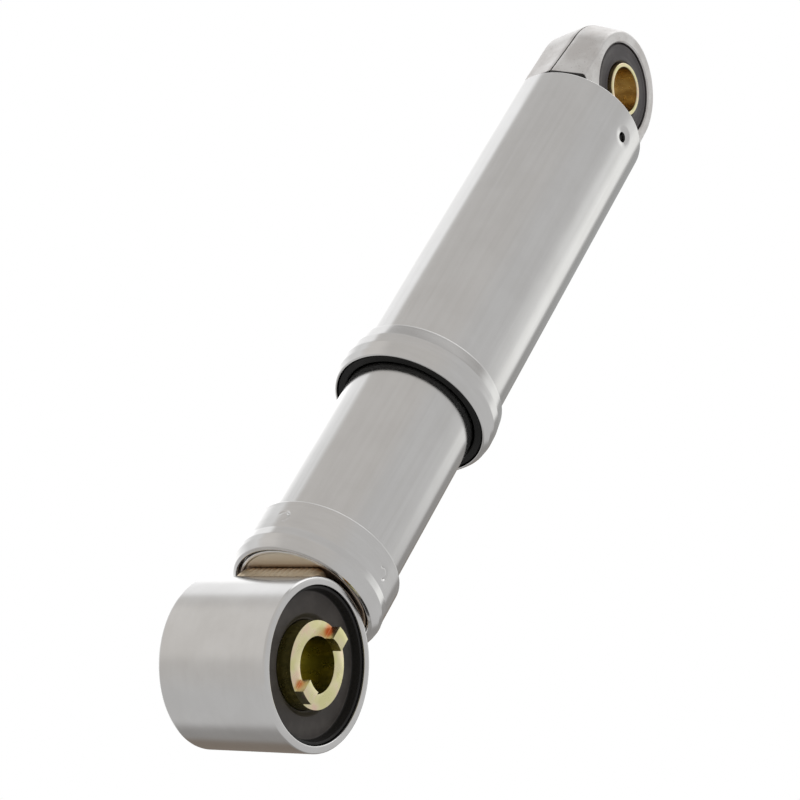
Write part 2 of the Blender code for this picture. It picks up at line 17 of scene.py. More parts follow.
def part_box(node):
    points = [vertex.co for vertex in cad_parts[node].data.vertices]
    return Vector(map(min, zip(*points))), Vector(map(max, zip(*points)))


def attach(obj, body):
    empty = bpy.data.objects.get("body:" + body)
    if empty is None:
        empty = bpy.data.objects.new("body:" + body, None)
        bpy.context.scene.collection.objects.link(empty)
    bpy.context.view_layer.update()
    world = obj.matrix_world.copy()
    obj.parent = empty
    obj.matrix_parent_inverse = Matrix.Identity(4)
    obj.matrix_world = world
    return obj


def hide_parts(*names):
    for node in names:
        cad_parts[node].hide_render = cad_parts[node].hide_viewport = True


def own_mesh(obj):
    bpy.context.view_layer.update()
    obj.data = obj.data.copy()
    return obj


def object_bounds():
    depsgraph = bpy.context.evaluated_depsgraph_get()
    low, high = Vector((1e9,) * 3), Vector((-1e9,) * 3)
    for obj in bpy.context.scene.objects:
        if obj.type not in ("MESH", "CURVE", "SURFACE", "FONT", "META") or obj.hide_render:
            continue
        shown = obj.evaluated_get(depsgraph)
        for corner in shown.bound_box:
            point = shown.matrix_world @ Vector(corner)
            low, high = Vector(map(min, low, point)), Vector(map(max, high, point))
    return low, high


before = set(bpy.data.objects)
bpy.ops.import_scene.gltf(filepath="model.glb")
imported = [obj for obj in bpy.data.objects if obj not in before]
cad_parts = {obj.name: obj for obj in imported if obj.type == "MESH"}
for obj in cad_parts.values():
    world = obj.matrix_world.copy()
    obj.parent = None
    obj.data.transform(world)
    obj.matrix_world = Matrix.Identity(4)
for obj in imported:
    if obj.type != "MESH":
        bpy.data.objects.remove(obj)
cad_low, cad_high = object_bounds()
MM = 0.001
print("height in mm", round((cad_high.z - cad_low.z) / MM, 1))

# %% [markdown]
# A turned part is known by its radius and its two ends. `span` reads those from
# the frame in millimetres, along the long axis Z or along the bolt axis X, so
# no outline below repeats a size that the frame already has.

# %% Sizes read from the frame
EYE_TO_EYE = sum(v.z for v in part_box("upper_sleeve")) / 2 / MM


def span(node, axis="Z"):
    """Outer radius, low end and high end of a turned node, in millimetres."""
    low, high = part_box(node)
    along = 2 if axis == "Z" else 0
    return (high.y - low.y) / 2 / MM, low[along] / MM, high[along] / MM


for node in ("lower_cover", "upper_cover", "lower_collar", "upper_collar"):
    print(node, [round(size, 2) for size in span(node)])
print("eye to eye", round(EYE_TO_EYE, 2))

# %% [markdown]
# Most of the visible pieces are turned or spun, so one builder turns a closed
# outline about an axis. Real edges are never sharp: `softened` gives each
# outline corner its own small radius, with a supporting point either side so
# that smooth shading stays true on the long flats between.

# %% Outlines with soft corners
def softened(points, steps=4):
    """Closed outline of (radius, height, corner radius) points as vectors."""
    outline = []
    for before, here, after in zip(points[-1:] + points[:-1], points, points[1:] + points[:1]):
        corner = Vector(here[:2])
        bend = here[2] if len(here) > 2 else 0.0
        to_last = (Vector(before[:2]) - corner).normalized()
        to_next = (Vector(after[:2]) - corner).normalized()
        half = to_last.angle(to_next) / 2
        if bend == 0.0 or half > radians(89):
            outline.append(corner)
            continue
        reach = bend / tan(half)
        centre = corner + (to_last + to_next).normalized() * bend / sin(half)
        first = (corner + to_last * reach - centre).normalized()
        last = (corner + to_next * reach - centre).normalized()
        outline.append(corner + to_last * (reach + 0.3 * bend))
        for step in range(steps + 1):
            outline.append(centre + bend * first.slerp(last, step / steps))
        outline.append(corner + to_next * (reach + 0.3 * bend))
    return outline


print("a softened square has", len(softened([(1, 0, 0.1), (1, 1, 0.1), (0, 1, 0.1), (0, 0, 0.1)])), "points")

# %% [markdown]
# `turned` joins the turned rings into a closed mesh. A part can have more
# facets where a small mark sits, and a `shape` rule that presses the surface in
# there, which keeps a stamped dimple smooth where a cut would leave hard edges.

# %% Turning an outline
def make_piece(name, verts, faces, smooth_angle=40.0):
    """Mesh object from points in millimetres, facing out and smooth."""
    mesh = bpy.data.meshes.new(name)
    mesh.from_pydata([Vector(v) * MM for v in verts], [], faces)
    work = bmesh.new()
    work.from_mesh(mesh)
    bmesh.ops.recalc_face_normals(work, faces=work.faces)
    work.to_mesh(mesh)
    work.free()
    mesh.shade_smooth()
    mesh.set_sharp_from_angle(angle=radians(smooth_angle))
    obj = bpy.data.objects.new(name, mesh)
    bpy.context.scene.collection.objects.link(obj)
    return obj


def even_angles(count):
    """Angles of evenly spaced facets, in radians."""
    return [2 * pi * step / count for step in range(count)]


def denser_angles(count, marks, reach, fine):
    """Even angles, with finer ones within reach of each mark, all in radians."""
    plain = [a for a in even_angles(count) if all(abs(turn_between(a, m)) > reach for m in marks)]
    steps = int(2 * reach / fine)
    close = [m - reach + 2 * reach * step / steps for m in marks for step in range(steps + 1)]
    return sorted(a % (2 * pi) for a in plain + close)


def turn_between(a, b):
    """Signed turn from b to a, between -pi and pi."""
    return (a - b + pi) % (2 * pi) - pi


def turned(name, outline, axis="Z", centre=0.0, angles=None, shape=None):
    """Turn a closed outline about Z, or about X at height centre."""
    angles = angles or even_angles(160)
    rings, verts = [], []
    for radius, height in outline:
        ring = []
        for angle in angles if radius > 1e-6 else angles[:1]:
            r = shape(radius, angle, height) if shape else radius
            around = (r * cos(angle), r * sin(angle))
            ring.append(len(verts))
            verts.append((*around, height) if axis == "Z" else (height, around[0], around[1] + centre))
        rings.append(ring)
    faces = []
    for here, there in zip(rings, rings[1:] + rings[:1]):
        for step in range(len(angles)):
            after = (step + 1) % len(angles)
            quad = [
                here[step % len(here)],
                here[after % len(here)],
                there[after % len(there)],
                there[step % len(there)],
            ]
            corners = list(dict.fromkeys(quad))
            if len(corners) > 2:
                faces.append(corners)
    return make_piece(name, verts, faces)


print("facets round a plain piece", len(even_angles(160)))

# %% [markdown]
# A few pieces are milled or drilled after turning. `carve` applies an exact
# Boolean with a throwaway tool and then finds the new hard edges again.

# %% Cutting and joining
def carve(target, tool, operation="DIFFERENCE"):
    """Cut the tool from the target, or join it, and drop the tool."""
    modifier = target.modifiers.new("carve", "BOOLEAN")
    modifier.operation = operation
    modifier.solver = "EXACT"
    modifier.object = tool
    bpy.context.view_layer.objects.active = target
    bpy.ops.object.modifier_apply(modifier=modifier.name)
    bpy.data.objects.remove(tool, do_unlink=True)
    target.data.shade_smooth()
    target.data.set_sharp_from_angle(angle=radians(40.0))
    return target


def bar(start, end, radius, sides=48):
    """Plain round bar between two points, used as a drill or a pin."""
    start, end = Vector(start), Vector(end)
    direction = (end - start).normalized()
    side = direction.orthogonal().normalized()
    other = direction.cross(side)
    verts = [
        centre + radius * (cos(a) * side + sin(a) * other)
        for centre in (start, end)
        for a in (2 * pi * (step + 0.4) / sides for step in range(sides))
    ]
    faces = [tuple(range(sides)), tuple(range(sides, 2 * sides))]
    for step in range(sides):
        after = (step + 1) % sides
        faces.append((step, after, sides + after, sides + step))
    return make_piece("bar", verts, faces)


def swept(name, rings, closed):
    """Join equal rings of points into a bar or a hoop."""
    sides = len(rings[0])
    faces = []
    for ring in range(len(rings) if closed else len(rings) - 1):
        here, there = ring * sides, (ring + 1) % len(rings) * sides
        for side in range(sides):
            after = (side + 1) % sides
            faces.append((here + side, here + after, there + after, there + side))
    if not closed:
        last = (len(rings) - 1) * sides
        faces += [tuple(range(sides)), tuple(last + side for side in range(sides))]
    return make_piece(name, [point for ring in rings for point in ring], faces)


print("shaping tools ready")

# %% [markdown]
# Finishes are procedural. `Wire` stands for one socket, so that shader maths
# reads as a sum, and `Graph.node` adds every other node: its settings first,
# then the values or wires of its sockets.

# %% Shader maths as expressions
class Wire:
    """A node's output that can be used in a sum."""

    def __init__(self, graph, socket):
        self.graph, self.socket = graph, socket

    def _sum(self, operation, first, second):
        return self.graph.node("ShaderNodeMath", {"operation": operation}, {0: first, 1: second})

    def __add__(self, other):
        return self._sum("ADD", self, other)

    def __sub__(self, other):
        return self._sum("SUBTRACT", self, other)

    def __rsub__(self, other):
        return self._sum("SUBTRACT", other, self)

    def __mul__(self, other):
        return self._sum("MULTIPLY", self, other)

    def __truediv__(self, other):
        return self._sum("DIVIDE", self, other)

    def __pow__(self, other):
        return self._sum("POWER", self, other)

    __radd__, __rmul__ = __add__, __mul__


class Graph:
    """A material's or a world's node tree, emptied and ready to fill."""

    def __init__(self, owner):
        owner.use_nodes = True
        self.tree = owner.node_tree
        self.tree.nodes.clear()

    def node(self, kind, settings=None, inputs=None, output=0):
        """Add a node and return one of its outputs."""
        node = self.tree.nodes.new(kind)
        for name, value in (settings or {}).items():
            if name == "stops":
                self.set_stops(node.color_ramp, value)
            else:
                setattr(node, name, value)
        for key, value in (inputs or {}).items():
            socket = self.find(node.inputs, key)
            if isinstance(value, Wire):
                self.tree.links.new(value.socket, socket)
            else:
                socket.default_value = value
        return Wire(self, self.find(node.outputs, output)) if node.outputs else None

    @staticmethod
    def find(sockets, key):
        """A socket by its number, its identifier or its name."""
        if isinstance(key, int):
            return sockets[key]
        return next((s for s in sockets if s.identifier == key), None) or sockets[key]

    @staticmethod
    def set_stops(ramp, stops):
        """Give a colour ramp its (place, colour) stops."""
        while len(ramp.elements) < len(stops):
            ramp.elements.new(1.0)
        for element, (place, colour) in zip(ramp.elements, stops):
            element.position, element.color = place, (*colour, 1.0)

    def mix(self, factor, first, second):
        """Mix two colours."""
        first, second = (c if isinstance(c, Wire) else (*c, 1.0) for c in (first, second))
        inputs = {"Factor_Float": factor, "A_Color": first, "B_Color": second}
        return self.node("ShaderNodeMix", {"data_type": "RGBA"}, inputs, "Result_Color")

    def ramp(self, factor, *stops):
        """Colour ramp of (place, colour) stops."""
        return self.node("ShaderNodeValToRGB", {"stops": stops}, {"Fac": factor})

    def step(self, value, low, high):
        """0 below low and 1 above high, with a smooth change between."""
        inputs = {"Value": value, "From Min": low, "From Max": high}
        return self.node("ShaderNodeMapRange", {"interpolation_type": "SMOOTHSTEP"}, inputs)

    def place(self, stretch=(1.0, 1.0, 1.0)):
        """The point on the piece, stretched along each axis, in metres."""
        spot = self.node("ShaderNodeTexCoord", output="Object")
        inputs = {0: spot, 1: stretch}
        return self.node("ShaderNodeVectorMath", {"operation": "MULTIPLY"}, inputs)

    def noise(self, scale, stretch=(1.0, 1.0, 1.0), detail=3.0, roughness=0.55):
        """Noise with about scale features per metre, between 0 and 1."""
        inputs = {"Vector": self.place(stretch), "Scale": scale, "Detail": detail, "Roughness": roughness}
        return self.node("ShaderNodeTexNoise", {}, inputs)

    def near(self, point, low, high):
        """1 within low metres of a point on the piece, 0 beyond high."""
        inputs = {0: self.place(), 1: point}
        far = self.node("ShaderNodeVectorMath", {"operation": "DISTANCE"}, inputs, "Value")
        return 1.0 - self.step(far, low, high)

    def bump(self, height, depth):
        """Normal from a height between 0 and 1 that is depth metres deep."""
        return self.node("ShaderNodeBump", {}, {"Strength": 1.0, "Distance": depth, "Height": height})


finishes = {}


def surface(name, colour, roughness, metallic=0.0, normal=None, constants=None):
    """Principled material whose maps are made by functions of its graph."""
    material = bpy.data.materials.new(name)
    graph = Graph(material)
    maps = {"Base Color": colour(graph), "Roughness": roughness(graph)}
    if normal:
        maps["Normal"] = normal(graph)
    inputs = {"Metallic": metallic, **(constants or {}), **maps}
    shader = graph.node("ShaderNodeBsdfPrincipled", {}, inputs)
    graph.node("ShaderNodeOutputMaterial", {}, {"Surface": shader})
    finishes[name] = material
    return material


print("shader tools ready")

# %% [markdown]
# The covers are steel with a satin bright plating. Polishing left very fine
# streaks, lengthwise on the covers and round the turned collars, and a soft
# cloudiness. The streaks are noise stretched hard along the polishing direction.
# They change the colour and the gloss a little and the surface by a micrometre.

# %% Bright plating
ALONG = (1.0, 1.0, 0.03)
ROUND_Z = (0.12, 0.12, 1.0)
ROUND_X = (1.0, 0.12, 0.12)
PLATE_LIGHT = (0.725, 0.722, 0.718)
PLATE_DARK = (0.675, 0.670, 0.662)


def bright_plate(name, streaks, gloss=0.15, brushed=0.5):
    """Satin plated steel; streaks is the stretch of its polishing marks."""
    def colour(g):
        marks = g.noise(420, streaks, 4.0) * brushed + g.noise(70, detail=4.0) * (1 - brushed)
        return g.mix(g.step(marks, 0.30, 0.70), PLATE_DARK, PLATE_LIGHT)

    def roughness(g):
        return g.noise(500, streaks, 3.0) * (0.1 * brushed) + g.noise(80) * 0.06 + (gloss - 0.05)

    def normal(g):
        return g.bump(g.noise(900, streaks, 3.0), 8e-7 * brushed)

    return surface(name, colour, roughness, 1.0, normal)


bright_plate("plate_along", ALONG)
bright_plate("plate_round", ROUND_Z)
bright_plate("plate_eye", ROUND_X, 0.20, 0.2)
print("plated finishes", len(finishes))

# %% [markdown]
# The upper eye is an aluminium casting. Its skin is grainy from the mould and
# a little cloudy, with small dark pits. The groove along the parting line is
# darkened as painted shade, and a band of the foot just above the rim of the
# cover is painted near black as the shadow in the gap there, so both are
# coloured by their place on the casting.

# %% Cast alloy
RIM_Z = span("upper_cover")[2]
# Near black, painted as the shadow in the gap above the cover's rim.
FOOT_GAP_SHADOW = (0.03, 0.028, 0.026)
# Painted shade for the groove along the parting line.
GROOVE_SHADE = (0.12, 0.11, 0.10)


def cast_alloy(name):
    """Sand-grained light alloy with small pits."""
    def colour(g):
        cloud = g.mix(g.step(g.noise(90), 0.35, 0.65), (0.62, 0.60, 0.585), (0.74, 0.73, 0.72))
        pits = 1.0 - g.step(g.noise(1500, detail=1.0), 0.27, 0.36)
        skin = g.mix(pits * 0.5, cloud, (0.42, 0.40, 0.38))
        spot = g.node("ShaderNodeTexCoord", output="Object")
        across, height = (g.node("ShaderNodeSeparateXYZ", {}, {0: spot}, i) for i in (0, 2))
        side = g.node("ShaderNodeMath", {"operation": "ABSOLUTE"}, {0: across})
        # Painted shade: the parting-line groove is darkened.
        parting_shade = 1.0 - g.step(side, 0.28 * MM, 0.42 * MM)
        skin = g.mix(parting_shade * 0.8, skin, GROOVE_SHADE)
        # Painted shadow: a near-black band on the foot just above the cover's rim.
        above_rim = g.step(height, (RIM_Z - 1.0) * MM, RIM_Z * MM)
        gap_shadow = above_rim * (1.0 - g.step(height, (RIM_Z + 2.3) * MM, (RIM_Z + 2.9) * MM))
        return g.mix(gap_shadow, skin, FOOT_GAP_SHADOW)

    def roughness(g):
        return g.noise(500) * 0.18 + 0.30

    def normal(g):
        grain = g.noise(1100, detail=4.0) * 0.6 + g.noise(260) * 0.4
        return g.bump(grain, 6e-5)

    return surface(name, colour, roughness, 1.0, normal)


cast_alloy("casting")
print("cast finish", finishes["casting"].name)

# %% [markdown]
# The bolt sleeves are zinc plated and yellow passivated. The film is thin, so
# its colour drifts from straw to rosy tints, with copper where it pooled.
# The end faces show that film; the walls and the bore are painted darker, olive
# and brown to old gold, as painted shade where they are out of the light.

# %% Yellow zinc
STRAW = (0.86, 0.78, 0.50)
OLIVE = (0.36, 0.34, 0.11)
GREEN_GOLD = (0.56, 0.50, 0.16)
BROWN = (0.54, 0.40, 0.20)
GOLD = (0.80, 0.65, 0.36)
COPPER = (0.80, 0.27, 0.10)
ROSY = (0.90, 0.66, 0.52)


def yellow_zinc(name, end, wall_shade_dark, wall_shade_light, stains=()):
    """Passivated zinc on a sleeve: pale ends, walls painted darker as shade."""
    def colour(g):
        film = g.ramp(g.noise(170, detail=2.0), (0.30, ROSY), (0.46, STRAW), (0.62, (0.80, 0.76, 0.40)))
        spot = g.node("ShaderNodeTexCoord", output="Object")
        across = g.node("ShaderNodeSeparateXYZ", {}, {0: spot}, "X")
        # Painted shade: walls and bore are darker than the pale end faces.
        wall = g.mix(g.step(g.noise(260, (0.4, 1.0, 1.0)), 0.35, 0.65), wall_shade_dark, wall_shade_light)
        reach = g.node("ShaderNodeMath", {"operation": "ABSOLUTE"}, {0: across})
        tint = g.mix(g.step(reach, (end - 0.35) * MM, (end - 0.1) * MM), wall, film)
        for point, size in stains:
            patch = g.near([c * MM for c in point], 0.25 * size * MM, size * MM)
            tint = g.mix(patch * (g.noise(900) * 0.4 + 0.7), tint, COPPER)
        return tint

    def roughness(g):
        return g.noise(400) * 0.14 + 0.22

    def normal(g):
        return g.bump(g.noise(1500), 8e-6)

    return surface(name, colour, roughness, 1.0, normal)


yellow_zinc("zinc_lower", 21.3, OLIVE, GREEN_GOLD, [((21.3, -2.9, 12.3), 3.8), ((21.3, -1.7, -11.1), 3.2)])
yellow_zinc("zinc_upper", 14.2, BROWN, GOLD)
print("zinc finishes", "zinc_lower", "zinc_upper")

# %% [markdown]
# Both bushes are moulded rubber: charcoal, slightly dusty, with a fine matt
# grain. Beyond a radius the lower bush is painted black, as painted shade on
# the lining deep in the eye. The guide ring in the mouth of the upper collar is
# black nylon, which is smoother and stays black.

# %% Rubber and plastic
RECESS_SHADE_BLACK = (0.008, 0.007, 0.007)


def rubber(name, dark, dusty, sheen, shade_beyond=None):
    """Moulded rubber with a bloom of dust, painted black as shade beyond a radius."""
    def colour(g):
        bloom = g.step(g.noise(120, detail=5.0), 0.40, 0.72)
        skin = g.mix(bloom, dark, dusty)
        if shade_beyond is None:
            return skin
        spot = g.node("ShaderNodeTexCoord", output="Object")
        across, high = (g.node("ShaderNodeSeparateXYZ", {}, {0: spot}, i) for i in (1, 2))
        radius = (across * across + high * high) ** 0.5
        # Painted shade: the rubber turns black beyond the given radius, on the recessed lining.
        recess_shade = g.step(radius, (shade_beyond - 0.2) * MM, shade_beyond * MM)
        return g.mix(recess_shade, skin, RECESS_SHADE_BLACK)

    def roughness(g):
        return g.noise(600) * 0.15 + sheen

    def normal(g):
        return g.bump(g.noise(2600, detail=2.0), 1.5e-5)

    return surface(name, colour, roughness, 0.0, normal, {"Specular IOR Level": 0.4})


# The lower bush is painted black beyond 23.9 mm as shade on its lining.
rubber("rubber_lower", (0.056, 0.049, 0.045), (0.080, 0.071, 0.065), 0.50, 23.9)
rubber("rubber_upper", (0.060, 0.054, 0.056), (0.090, 0.082, 0.082), 0.36)
rubber("rubber_seal", (0.020, 0.019, 0.018), (0.034, 0.032, 0.030), 0.45)
rubber("nylon", (0.003, 0.003, 0.003), (0.006, 0.006, 0.005), 0.55)
print("rubber and plastic finishes ready")

# %% [markdown]
# Inside the lower collar the plate is welded to the eye. Between and along the
# welds the plate and the beads are tinted straw to brown: partly heat tint under
# the same thin plating, partly painted shade, darkest in the crease at the weld.

# %% Welded steel
def tinted_shaded_steel(name, cool, heat_and_shade):
    """Plated steel tinted near the welds: heat tint and painted shade."""
    def colour(g):
        spot = g.node("ShaderNodeTexCoord", output="Object")
        across = g.node("ShaderNodeSeparateXYZ", {}, {0: spot}, "Y")
        off_axis = g.node("ShaderNodeMath", {"operation": "ABSOLUTE"}, {0: across})
        # Painted shade with heat tint: darkest between the welds and at their edge.
        tint_and_shade = 1 - g.step(off_axis, 0.0149, 0.0168)
        drift = g.noise(150) * 0.5 + 0.5
        return g.mix(tint_and_shade * drift, cool, heat_and_shade)

    def roughness(g):
        return g.noise(500) * 0.2 + 0.35

    def normal(g):
        return g.bump(g.noise(900, detail=4.0), 2e-5)

    return surface(name, colour, roughness, 1.0, normal)


tinted_shaded_steel("tinted_shaded_plate", (0.90, 0.90, 0.89), (0.30, 0.19, 0.10))
tinted_shaded_steel("weld_bead", (0.88, 0.76, 0.58), (0.66, 0.49, 0.31))
print("welded finishes ready")

# %% [markdown]
# The working parts are hidden by the covers but show in section and when a part
# is taken off. Turned steel has faint tool marks round its axis, the rod is hard
# chrome, the piston is pressed iron powder, and the spring is shot-peened and
# painted black.

# %% Working parts
def machined(name, light, dark, marks, gloss, depth=2e-6, metallic=1.0):
    """Turned or pressed metal; marks is the stretch of its tool marks."""
    def colour(g):
        return g.mix(g.step(g.noise(800, marks, 4.0), 0.3, 0.7), dark, light)

    def roughness(g):
        return g.noise(600, marks) * 0.12 + gloss

    def normal(g):
        return g.bump(g.noise(1500, marks), depth)

    return surface(name, colour, roughness, metallic, normal)


machined("turned_steel", (0.46, 0.46, 0.45), (0.36, 0.36, 0.35), ROUND_Z, 0.28)
machined("drawn_steel", (0.44, 0.44, 0.43), (0.35, 0.35, 0.34), ALONG, 0.30)
# Near-black pins, as painted shade in the pin holes.
machined("pin_hole_shade_black", (0.05, 0.05, 0.05), (0.03, 0.03, 0.03), (1, 1, 1), 0.45, 4e-6)
machined("hard_chrome", (0.80, 0.80, 0.80), (0.74, 0.74, 0.74), ROUND_Z, 0.05, 4e-7)
machined("sintered", (0.30, 0.29, 0.28), (0.20, 0.19, 0.18), (1, 1, 1), 0.50, 2e-5)
machined("bronze", (0.66, 0.46, 0.23), (0.52, 0.34, 0.16), ROUND_Z, 0.30)
machined("painted_spring", (0.055, 0.055, 0.060), (0.030, 0.030, 0.034), (1, 1, 1), 0.32, 1.5e-5, 0.0)
machined("stop_foam", (0.72, 0.62, 0.32), (0.58, 0.48, 0.22), (1, 1, 1), 0.70, 6e-5, 0.0)
print("finishes so far", len(finishes))

# %% [markdown]
# Each finished piece gets its material, rides on its CAD body and stands for
# its CAD node, whose own mesh is hidden, so `settle` does these things together.

# %% Settling a piece
def settle(piece, finish, body, node):
    """Finish a piece and let it stand for its CAD node."""
    piece.data.materials.clear()
    piece.data.materials.append(finishes[finish])
    piece.data.name = piece.name
    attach(piece, body)
    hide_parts(node)
    low, high = (Vector(corner) for corner in (piece.bound_box[0], piece.bound_box[6]))
    size = [round(edge / MM, 1) for edge in high - low]
    print(piece.name, "faces", len(piece.data.polygons), "size in mm", size)
    return piece


def mirrored(half):
    """Whole outline of a bush from the half on its +X side, inside out."""
    return [(p[0], -p[1], *p[2:]) for p in half] + half[::-1]


# %% [markdown]
# The lower eye is a length of thick tube laid across the bottom. Its ends are
# faced off square with a small broken edge outside and a finer one inside.

# %% Lower eye
eye_r, eye_low, eye_high = span("lower_eye", "X")
EYE_BORE = 25.8
eye_tube = turned(
    "lower_eye_tube",
    softened([
        (eye_r, eye_low, 0.9),
        (eye_r, eye_high, 0.9),
        (EYE_BORE, eye_high, 0.5),
        (EYE_BORE, eye_low, 0.5),
    ]),
    axis="X",
    angles=even_angles(192),
)
settle(eye_tube, "plate_eye", "lower_half", "lower_eye")

# %% [markdown]
# The lower bush lines the whole bore of the eye and dishes inwards to a flat
# rubber face, which sinks again round the sleeve. Only half of the outline is
# written: the other end mirrors it.

# %% Lower bush
sleeve_r = span("lower_sleeve", "X")[0]
_, _, bush_end = span("lower_bush_rubber", "X")
bush_half = [
    (sleeve_r + 0.3, bush_end - 4.8),
    (sleeve_r + 0.9, bush_end - 4.6, 0.4),
    (sleeve_r + 2.2, bush_end - 3.3, 0.7),
    (24.0, bush_end - 3.2, 0.6),
    (24.7, bush_end, 0.3),
    (EYE_BORE - 0.3, bush_end),
]
lower_bush = turned("lower_bush", softened(mirrored(bush_half)), axis="X", angles=even_angles(128))
settle(lower_bush, "rubber_lower", "lower_half", "lower_bush_rubber")

# %% [markdown]
# The lower sleeve is turned a little long, and most of its outer end is milled
# away to leave two dogs that key it to the engine casing. Two blocks cut it
# flat, and a bevel breaks the edges as tumbling does before plating.

# %% Lower sleeve with its dogs
_, sleeve_low, dog_top = span("lower_sleeve", "X")
SLEEVE_BORE = 9.35
SLEEVE_FACE = 21.3
DOG_WIDTH = 6.0
lower_sleeve = turned(
    "lower_sleeve_dogged",
    [
        Vector(p)
        for p in (
            (sleeve_r, sleeve_low),
            (sleeve_r, dog_top),
            (SLEEVE_BORE, dog_top),
            (SLEEVE_BORE, sleeve_low),
        )
    ],
    axis="X",
    angles=even_angles(128),
)
for side in (-1, 1):
    edge, beyond = side * DOG_WIDTH / 2, side * (sleeve_r + 2)
    corners = [(x, y, z) for x in (SLEEVE_FACE, dog_top + 2) for y in (edge, beyond) for z in (-18.0, 18.0)]
    block_faces = [(0, 1, 3, 2), (4, 6, 7, 5), (0, 4, 5, 1), (2, 3, 7, 6), (0, 2, 6, 4), (1, 5, 7, 3)]
    carve(lower_sleeve, make_piece("cutter", corners, block_faces))
bevel = lower_sleeve.modifiers.new("broken_edges", "BEVEL")
bevel.width, bevel.segments, bevel.limit_method = 0.3 * MM, 3, "ANGLE"
bevel.angle_limit = radians(50)
bpy.context.view_layer.objects.active = lower_sleeve
bpy.ops.object.modifier_apply(modifier=bevel.name)
lower_sleeve.data.set_sharp_from_angle(angle=radians(35))
settle(lower_sleeve, "zinc_lower", "ground_sleeve", "lower_sleeve")

# %% [markdown]
# The damper ends in a thick cap that sits right on the eye. Its underside is a
# shallow recess with a narrow rim, seen inside the mouth of the lower collar.

# %% Damper base
base_r, rim_z, base_top = span("base_plate")
BOSS_R, BOSS_Z = 22.9, 31.5
face_z = rim_z + 0.5
base_plate = turned(
    "damper_base",
    softened([
        (BOSS_R, rim_z, 0.35),
        (BOSS_R, BOSS_Z),
        (base_r, BOSS_Z, 0.3),
        (base_r, base_top, 0.4),
        (0.0, base_top),
        (0.0, face_z),
        (BOSS_R - 1.5, face_z, 0.3),
        (BOSS_R - 0.9, rim_z, 0.2),
    ]),
    angles=even_angles(128),
)
settle(base_plate, "tinted_shaded_plate", "lower_half", "base_plate")

# %% [markdown]
# Two fillets of weld hold the eye to the cap, one along each side. Each is the
# same section swept along the eye. The drops of metal leave ripples, made by
# letting the face of the section breathe, and both ends are rounded off.

# %% Welds along the eye
weld_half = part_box("eye_weld_front")[1].x / MM
WELD_GAP = 0.3
WELD_STEPS, RIPPLE_PITCH, RIPPLE_DEEP = 132, 2.2, 0.34
WELD_Y, WELD_Z, WELD_BACK = 13.4, 27.4, 9.5
weld_face = [(17.2, None), (16.95, 24.2), (16.6, 25.4), (16.2, 26.6), (15.7, 27.8), (14.9, face_z - WELD_GAP)]
weld_seat = [WELD_BACK, 11.0, 12.5, 14.0, 15.6]


def on_eye(y):
    """Height just above the round eye at one place across it."""
    return sqrt((eye_r + WELD_GAP) ** 2 - y**2)


def weld_ring(share, side):
    """Section of the weld at a share of the way along, from -1 to 1."""
    x = share * weld_half
    size = (1 - abs(share) ** 14 * 0.5) if abs(share) < 1 else 0.5
    wave = RIPPLE_DEEP * (1 + cos(2 * pi * x / RIPPLE_PITCH)) / 2
    seat = [(y, on_eye(y)) for y in weld_seat]
    face = [(y - wave, on_eye(y) if z is None else z) for y, z in weld_face]
    points = [(WELD_BACK, face_z - WELD_GAP)] + seat + face
    return [(x, side * (WELD_Y + size * (y - WELD_Y)), WELD_Z + size * (z - WELD_Z)) for y, z in points]


for name, side in (("eye_weld_front", -1), ("eye_weld_rear", 1)):
    shares = [-1 + 2 * step / WELD_STEPS for step in range(WELD_STEPS + 1)]
    fillet = swept(name + "_rippled", [weld_ring(share, side) for share in shares], False)
    settle(fillet, "weld_bead", "lower_half", name)

# %% [markdown]
# The lower collar is a spun cup. It has a straight band that grips the cover, a
# waist, and a rolled lip that turns in under the base plate. Four stake marks,
# small crescents punched into the band, lock it: they are pressed into a patch
# of finer facets instead of being cut.

# %% Lower collar
collar_r, collar_low, collar_high = span("lower_collar")
BAND_R = 26.9
STAKE_Z = collar_low + 13.1
STAKE_R, STAKE_WIDE, STAKE_DEEP = 2.1, 0.5, 0.5
stake_angles = [radians(turn) for turn in (0, 90, 180, 270)]


def staked(radius, angle, height):
    """Press the crescents into the band."""
    if radius < BAND_R - 0.5 or abs(height - STAKE_Z) > 4:
        return radius
    for mark in stake_angles:
        across = turn_between(angle, mark) * BAND_R
        rise = height - STAKE_Z
        if abs(across) > 4:
            continue
        off_ring = abs(sqrt(across**2 + rise**2) - STAKE_R) / STAKE_WIDE
        opening = min(max((across * 0.75 + rise * 0.65 + 0.9) / 0.8, 0.0), 1.0)
        radius -= STAKE_DEEP * max(1 - off_ring, 0.0) * opening
    return radius


def rows(radius, low, high, step):
    """Extra points up a straight wall, so that a mark can be pressed in."""
    count = int((high - low) / step)
    return [Vector((radius, low + (high - low) * i / count)) for i in range(count + 1)]


lip_and_waist = softened([
    (25.3, collar_low + 0.5, 0.6),
    (collar_r - 0.35, collar_low + 2.9, 1.6),
    (collar_r, collar_low + 5.0, 1.6),
    (BAND_R - 0.04, collar_low + 8.4, 1.3),
    (BAND_R, collar_high, 0.45),
    (24.5, collar_high, 0.15),
    (24.5, 31.2, 0.3),
    (23.6, 30.6, 0.3),
    (23.4, 29.4, 0.3),
    (24.0, collar_low + 0.1, 0.4),
])
stake_row = next(i for i, p in enumerate(lip_and_waist) if p.y > STAKE_Z)
collar_outline = (
    lip_and_waist[:stake_row] + rows(BAND_R, STAKE_Z - 3.2, STAKE_Z + 3.2, 0.2) + lip_and_waist[stake_row:]
)
lower_collar = turned(
    "lower_collar_staked",
    collar_outline,
    angles=denser_angles(160, stake_angles, 3.2 / BAND_R, 0.2 / BAND_R),
    shape=staked,
)
settle(lower_collar, "plate_round", "lower_half", "lower_collar")

